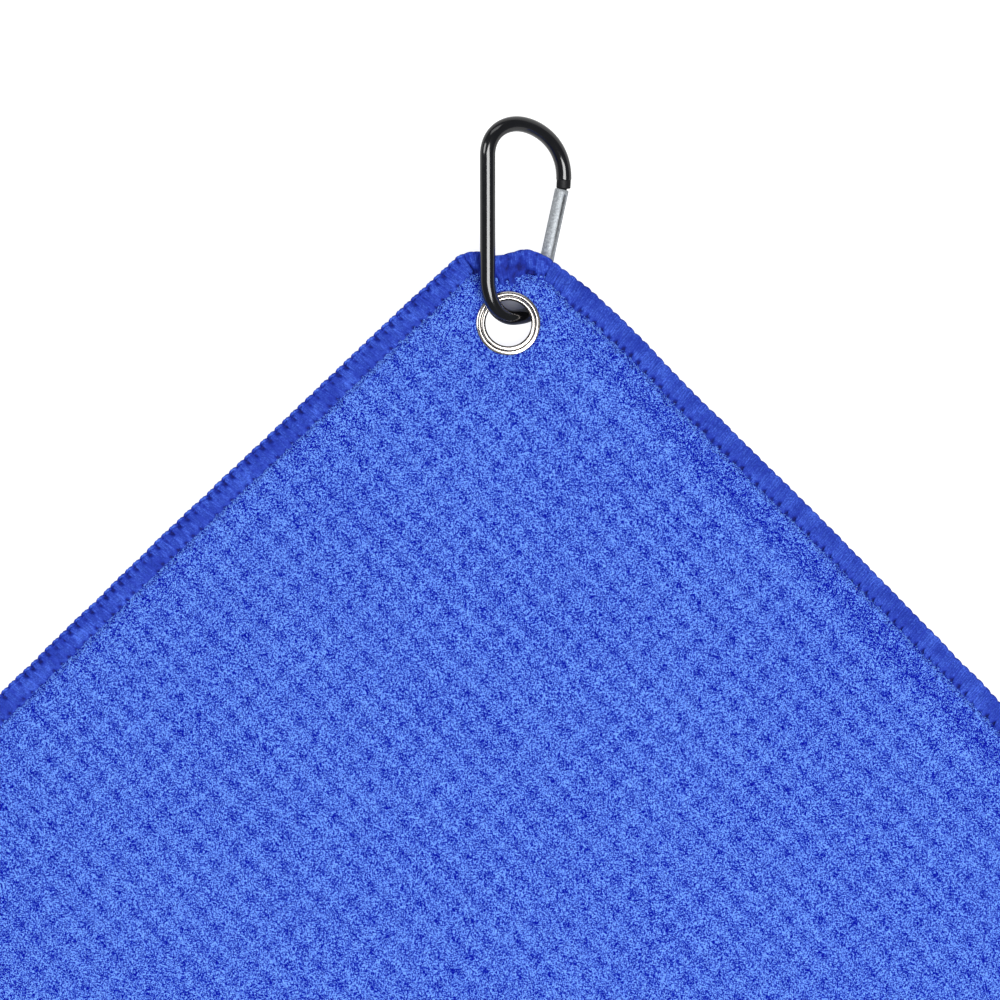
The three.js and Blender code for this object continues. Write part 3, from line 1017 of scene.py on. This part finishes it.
def runTree(tree, start, values, name):
    # evaluates the tree on a start mesh and gives a plain mesh back
    holder = addObject("holder", start)
    modifier = holder.modifiers.new("nodes", "NODES")
    modifier.node_group = tree
    for item in tree.interface.items_tree:
        if item.in_out == "INPUT" and item.name in values:
            modifier[item.identifier] = values[item.name]
    graph = bpy.context.evaluated_depsgraph_get()
    made = bpy.data.meshes.new_from_object(holder.evaluated_get(graph))
    made.name = name
    bpy.data.objects.remove(holder)
    return made


def finishTree(tree, geometry, material, out):
    real = addNode(tree, "GeometryNodeRealizeInstances", {"Geometry": geometry})
    done = addNode(tree, "GeometryNodeSetMaterial", {
        "Geometry": real.outputs["Geometry"], "Material": material})
    tree.links.new(done.outputs["Geometry"], out.inputs["Geometry"])
    return tree


def stitchTree():
    tree, given, out = newTree("stitchesAlongEdge", [
        ("Stitch", "NodeSocketObject"), ("Unevenness", "NodeSocketFloat"), ("Seed", "NodeSocketInt"),
        ("Thread", "NodeSocketMaterial")])
    shape = addNode(tree, "GeometryNodeObjectInfo", {"Object": given.outputs["Stitch"]})
    along = addNode(tree, "GeometryNodeInputNamedAttribute", {"Name": "along"}, data_type="FLOAT_VECTOR")
    inwards = addNode(tree, "GeometryNodeInputNamedAttribute", {"Name": "inwards"}, data_type="FLOAT_VECTOR")
    turn = addNode(tree, "FunctionNodeAxesToRotation", {
        "Primary Axis": along.outputs["Attribute"], "Secondary Axis": inwards.outputs["Attribute"]},
        primary_axis="X", secondary_axis="Y")
    low = addNode(tree, "ShaderNodeMath", {0: 1.0, 1: given.outputs["Unevenness"]}, operation="SUBTRACT")
    high = addNode(tree, "ShaderNodeMath", {0: 1.0, 1: given.outputs["Unevenness"]}, operation="ADD")
    size = addNode(tree, "FunctionNodeRandomValue", {"Seed": given.outputs["Seed"]}, data_type="FLOAT")
    tree.links.new(low.outputs[0], size.inputs[2])
    tree.links.new(high.outputs[0], size.inputs[3])
    placed = addNode(tree, "GeometryNodeInstanceOnPoints", {
        "Points": given.outputs["Geometry"], "Instance": shape.outputs["Geometry"],
        "Rotation": turn.outputs["Rotation"], "Scale": size.outputs[1]})
    return finishTree(tree, placed.outputs["Instances"], given.outputs["Thread"], out)


def threadMesh(strands, radius, sides, tones):
    # closed thread tubes along the given runs of points; a tone for each run, or for each of its points
    points, faces, shadesAndTones = [], [], []
    for tone, run in zip(tones, strands):
        start = len(points)
        for k, spot in enumerate(run):
            shadesAndTones += [tone[k] if isinstance(tone, tuple) else tone] * sides
            heading = (Vector(run[min(k + 1, len(run) - 1)]) - Vector(run[max(k - 1, 0)])).normalized()
            side = heading.cross(Vector((1, 0, 0))).normalized()
            other = heading.cross(side)
            taper = 0.7 if k in (0, len(run) - 1) else 1.0
            for i in range(sides):
                a = 2 * math.pi * (i + 0.5) / sides
                out = (side * math.cos(a) + other * math.sin(a)) * radius * taper
                points.append((Vector(spot) + out) * toMetres)
        for k in range(len(run) - 1):
            for i in range(sides):
                j = (i + 1) % sides
                a, b = start + k * sides, start + (k + 1) * sides
                faces.append((a + i, a + j, b + j, b + i))
        faces.append(tuple(start + i for i in range(sides))[::-1])
        faces.append(tuple(start + (len(run) - 1) * sides + i for i in range(sides)))
    mesh = meshFrom("threads", points, faces)
    addValues(mesh, "paintedShadeAndTone", shadesAndTones)
    return faceOutwards(mesh)


def stitchFan(pitch, width, spreadOut, scallop):
    # strands that leave one needle hole together, spread over the edge and turn under it
    strands = []
    count, top, lean = hem["strands"], hem["half"], hem["slant"]
    for k in range(count):
        f = (k + 0.5) / count - 0.5
        edge = scallop * (1 - edgeBump(f + 0.5))
        spread = f * pitch * spreadOut
        strands.append([
            (0.45 * spread - 0.5 * lean, width - 0.9, top * 0.4),
            (0.6 * spread - 0.45 * lean, width - 1.7, top * 0.93),
            (0.85 * spread - 0.25 * lean, width * 0.5, top - 0.02),
            (0.95 * spread, 1.3 + 0.5 * edge, top - 0.04),
            (spread + 0.06 * lean, 0.22 + edge, top * 0.5),
            (spread + 0.1 * lean, 0.12 + edge, -top * 0.35),
        ])
    tones = [0.07, -0.04, 0.03, -0.08, 0.08, 0.0, -0.05, 0.04]
    return threadMesh(strands, hem["threadRadius"], 4, tones)


def purlBead(pitch):
    # the looper thread that locks each stitch along the outline
    run = [(-0.6 * pitch, 0.85, 0.35), (-0.38 * pitch, 0.38, 0.8), (-0.14 * pitch, 0.12, 0.95),
           (0.12 * pitch, 0.08, 0.9), (0.34 * pitch, 0.22, 0.65), (0.56 * pitch, 0.5, 0.15)]
    # the bead is painted darker at both ends, where it dives under, as shade, and lighter in the middle as
    # painted highlight
    return threadMesh([run], hem["purlRadius"], 8, [(0.7, 0.1, -0.2, -0.15, 0.35, 0.9)])


def guideMesh(route, style):
    # one point for each stitch, with the directions along the edge and in from it
    at, length = route
    points, along, inwards = [], [], []
    for k in range(style["stitches"]):
        s = (k + 0.5) * style["pitch"]
        spots = []
        for ds, d in ((-0.5, 0), (0.5, 0), (0, 0), (0, style["width"](s))):
            spot, normal = at(min(max(s + ds, 0), length))
            spot = spot + normal * d
            if d == 0:
                spot = spot + normal * (0.22 * noise.noise(Vector(((s + ds) * 0.11, 3.0, style["seed"])))
                                        + style["dip"](s + ds))
            spots.append(Vector((*settled(*spot), clothHeight(*spot))))
        before, after, here, inner = spots
        points.append(here)
        along.append((after - before).normalized())
        inwards.append((inner - here).normalized())
    mesh = meshFrom("guide", points, [], onCloth)
    for name, values in (("along", along), ("inwards", inwards)):
        layer = mesh.attributes.new(name, "FLOAT_VECTOR", "POINT")
        layer.data.foreach_set("vector", [c for value in values for c in value])
    return mesh


def buildStitches():
    tree = stitchTree()
    for name, style in hemStyles.items():
        if name == "corner":
            continue  # gathered there until no single stitch shows
        spreadOut = 0.62 if name == "upper_left" else 1.0
        fan = stitchFan(style["pitch"], towel["hemWidth"], spreadOut, style["scallop"])
        kinds = [("hem_threads_" + name, fan, 0.03)]
        if name == "upper_left":
            kinds.append(("hem_purl_" + name, purlBead(style["pitch"]), 0.08))
        for seed, (pieceName, shapeMesh, unevenness) in enumerate(kinds):
            shape = addObject("stitchShape", shapeMesh)
            made = runTree(tree, guideMesh(hemRoutes[name], style), {
                "Stitch": shape, "Unevenness": unevenness, "Seed": seed + 1, "Thread": threadMaterial},
                pieceName)
            bpy.data.objects.remove(shape)
            linkMesh(pieceName, shadeSmooth(made), threadMaterial, "towel")


def loopMesh(size, radius):
    # one terry loop, bent over and lying flat
    turns = [math.radians(a) for a in (-60, -15, 30, 75, 120, 165, 210)]
    run = [(size * math.cos(t), size * math.sin(t), 0.25 * size * math.sin(2 * t)) for t in turns]
    mesh = threadMesh([run], radius, 4, [0])
    addValues(mesh, "waffle", [0.9] * len(mesh.vertices))
    return mesh


def scatterTree():
    tree, given, out = newTree("loopsOverSeam", [
        ("Loop", "NodeSocketObject"), ("Smallest", "NodeSocketFloat"), ("Largest", "NodeSocketFloat"),
        ("Seed", "NodeSocketInt"), ("Pile", "NodeSocketMaterial")])
    shape = addNode(tree, "GeometryNodeObjectInfo", {"Object": given.outputs["Loop"]})
    turn = addNode(tree, "FunctionNodeRandomValue", {"Seed": given.outputs["Seed"]}, data_type="FLOAT_VECTOR")
    turn.inputs[0].default_value = (-0.6, -0.6, 0.0)
    turn.inputs[1].default_value = (0.6, 0.6, 6.283)
    size = addNode(tree, "FunctionNodeRandomValue", {"Seed": given.outputs["Seed"]}, data_type="FLOAT")
    tree.links.new(given.outputs["Smallest"], size.inputs[2])
    tree.links.new(given.outputs["Largest"], size.inputs[3])
    placed = addNode(tree, "GeometryNodeInstanceOnPoints", {
        "Points": given.outputs["Geometry"], "Instance": shape.outputs["Geometry"],
        "Rotation": turn.outputs[0], "Scale": size.outputs[1]})
    return finishTree(tree, placed.outputs["Instances"], given.outputs["Pile"], out)


def buildSeamLoops():
    sizes = {"spacing": 0.62, "rows": (-0.2, 0.4, 1.0), "wander": 0.9, "loop": 0.38, "thread": 0.2}
    tree = scatterTree()
    pick = random.Random(5)
    for name, style in hemStyles.items():
        at, length = hemRoutes[name]
        spots = []
        for row in sizes["rows"]:
            for k in range(int(length / sizes["spacing"])):
                s = (k + pick.random()) * sizes["spacing"]
                spot, inwards = at(min(s, length))
                d = style["width"](s) + row + sizes["wander"] * (pick.random() - 0.5)
                x, y = spot + inwards * d
                if math.hypot(x, y) < 10.2:
                    continue
                spots.append((*settled(x, y), clothHeight(x, y) + clothHalf(x, y) - 0.28 - 0.2 * (row < 0)))
        shape = addObject("loopShape", loopMesh(sizes["loop"], sizes["thread"]))
        pieceName = "hem_seam_loops_" + name
        made = runTree(tree, meshFrom("seam", spots, [], onCloth), {
            "Loop": shape, "Smallest": 0.7, "Largest": 1.15, "Seed": 3, "Pile": terryMaterial}, pieceName)
        bpy.data.objects.remove(shape)
        linkMesh(pieceName, shadeSmooth(made), terryMaterial, "towel")


def springTree():
    tree, given, out = newTree("coilSpring", [
        ("Turns", "NodeSocketFloat"), ("Coil Radius", "NodeSocketFloat"), ("Length", "NodeSocketFloat"),
        ("Wire Radius", "NodeSocketFloat"), ("Steel", "NodeSocketMaterial")])
    coil = addNode(tree, "GeometryNodeCurveSpiral", {
        "Resolution": 20, "Rotations": given.outputs["Turns"], "Start Radius": given.outputs["Coil Radius"],
        "End Radius": given.outputs["Coil Radius"], "Height": given.outputs["Length"]})
    wire = addNode(tree, "GeometryNodeCurvePrimitiveCircle", {
        "Resolution": 8, "Radius": given.outputs["Wire Radius"]})
    tube = addNode(tree, "GeometryNodeCurveToMesh", {
        "Curve": coil.outputs["Curve"], "Profile Curve": wire.outputs["Curve"], "Fill Caps": True})
    return finishTree(tree, tube.outputs["Mesh"], given.outputs["Steel"], out)


def buildSpring():
    spring = {"Turns": 15.0, "Coil Radius": 0.62, "Length": 14.9, "Wire Radius": 0.14, "Steel": steelMaterial}
    made = runTree(springTree(), bpy.data.meshes.new("empty"), spring, "gate_spring_coil")
    made.transform(alongGate @ Matrix.Translation((0, 0, 6.5)))
    shadeSmooth(made)
    linkMesh("gate_spring_coil", faceOutwards(made), steelMaterial, "gate", ["gate_spring"])


buildStitches()
buildSeamLoops()
buildSpring()
print("stitches and spring made")


# floor, light and camera

view = {
    "pictureWidth": 300.0,  # mm of the table that the frame takes in
    "turn": 0.75,  # degrees the towel lies off square
    "aim": (-2.52, -52.98),  # of the picture's middle from the eyelet, in the turned view
    "lens": 180.0,
    "sensor": 36.0,
}


def buildFloor():
    corner = 3.0
    spots = [(-corner, -corner, 0), (corner, -corner, 0), (corner, corner, 0), (-corner, corner, 0)]
    mesh = meshFrom("floor", spots, [(0, 1, 2, 3)], smoothFaces=False)
    floor = addObject("floor", mesh)
    material, tree, shader = newMaterial("lit_white_table")
    shader.inputs["Base Color"].default_value = linearColour("#9C9C9C")
    shader.inputs["Roughness"].default_value = 0.9
    shader.inputs["Specular IOR Level"].default_value = 0.1
    shader.inputs["Emission Color"].default_value = linearColour("#FFFFFF")
    # glows white everywhere, reading as over-lit, but the glow is cut in a spot under the eyelet so a painted
    # shadow shows there; glossy rays see the glow dimmer than it looks
    place = addNode(tree, "ShaderNodeTexCoord").outputs["Object"]
    shaded = eyeletCentre + Vector((1.8, 6.0, 0)) * toMetres
    away = addNode(tree, "ShaderNodeVectorMath", {0: place, 1: (shaded.x, shaded.y, 0)}, operation="DISTANCE")
    lit = addNode(tree, "ShaderNodeMapRange", {
        "Value": away.outputs["Value"], "From Min": 0.004, "From Max": 0.0058, "To Min": 0.0, "To Max": 0.86})
    ray = addNode(tree, "ShaderNodeLightPath")
    dimmed = addNode(tree, "ShaderNodeMath", {0: ray.outputs["Is Glossy Ray"], 1: -0.85, 2: 1.0},
                     operation="MULTIPLY_ADD")
    glow = addNode(tree, "ShaderNodeMath", {0: lit.outputs[0], 1: dimmed.outputs[0]}, operation="MULTIPLY")
    tree.links.new(glow.outputs[0], shader.inputs["Emission Strength"])
    mesh.materials.append(material)
    floor.location.z = -0.0002


def areaLight(name, place, towards, size, power, colour="#FFFFFF"):
    data = bpy.data.lights.new(name, "AREA")
    data.shape = "RECTANGLE"
    data.size, data.size_y = size
    data.energy = power
    data.color = linearColour(colour)[:3]
    lamp = addObject(name, data)
    lamp.location = place
    lamp.rotation_euler = (Vector(towards) - Vector(place)).to_track_quat("-Z", "Y").to_euler()


def buildLights():
    world = bpy.data.worlds.new("studio")
    world.use_nodes = True
    background = world.node_tree.nodes["Background"]
    background.inputs["Color"].default_value = linearColour("#F2F5FF")
    background.inputs["Strength"].default_value = 0.15
    bpy.context.scene.world = world
    aim = (0, 0.1, 0)
    areaLight("stripLight", (0.33, -0.25, 1.5), aim, (0.85, 1.5), 33)
    areaLight("leftLight", (-1.5, 0.5, 1.1), aim, (0.8, 0.8), 9)
    areaLight("topLight", (0.0, 1.9, 1.1), aim, (1.6, 0.7), 5)


def buildCamera():
    data = bpy.data.cameras.new("camera")
    data.lens, data.sensor_width = view["lens"], view["sensor"]
    data.clip_start, data.clip_end = 0.01, 20
    camera = addObject("camera", data)
    turn = Matrix.Rotation(math.radians(view["turn"]), 4, "Z")
    aim = turn @ Vector((*view["aim"], 0)) * toMetres
    distance = view["pictureWidth"] * toMetres * view["lens"] / view["sensor"]
    camera.matrix_world = Matrix.Translation(
        (eyeletCentre.x + aim.x, eyeletCentre.y + aim.y, eyeletCentre.z + distance)) @ turn
    bpy.context.scene.camera = camera


buildFloor()
buildLights()
buildCamera()
bpy.context.scene.view_settings.view_transform = "Standard"
print("scene set")
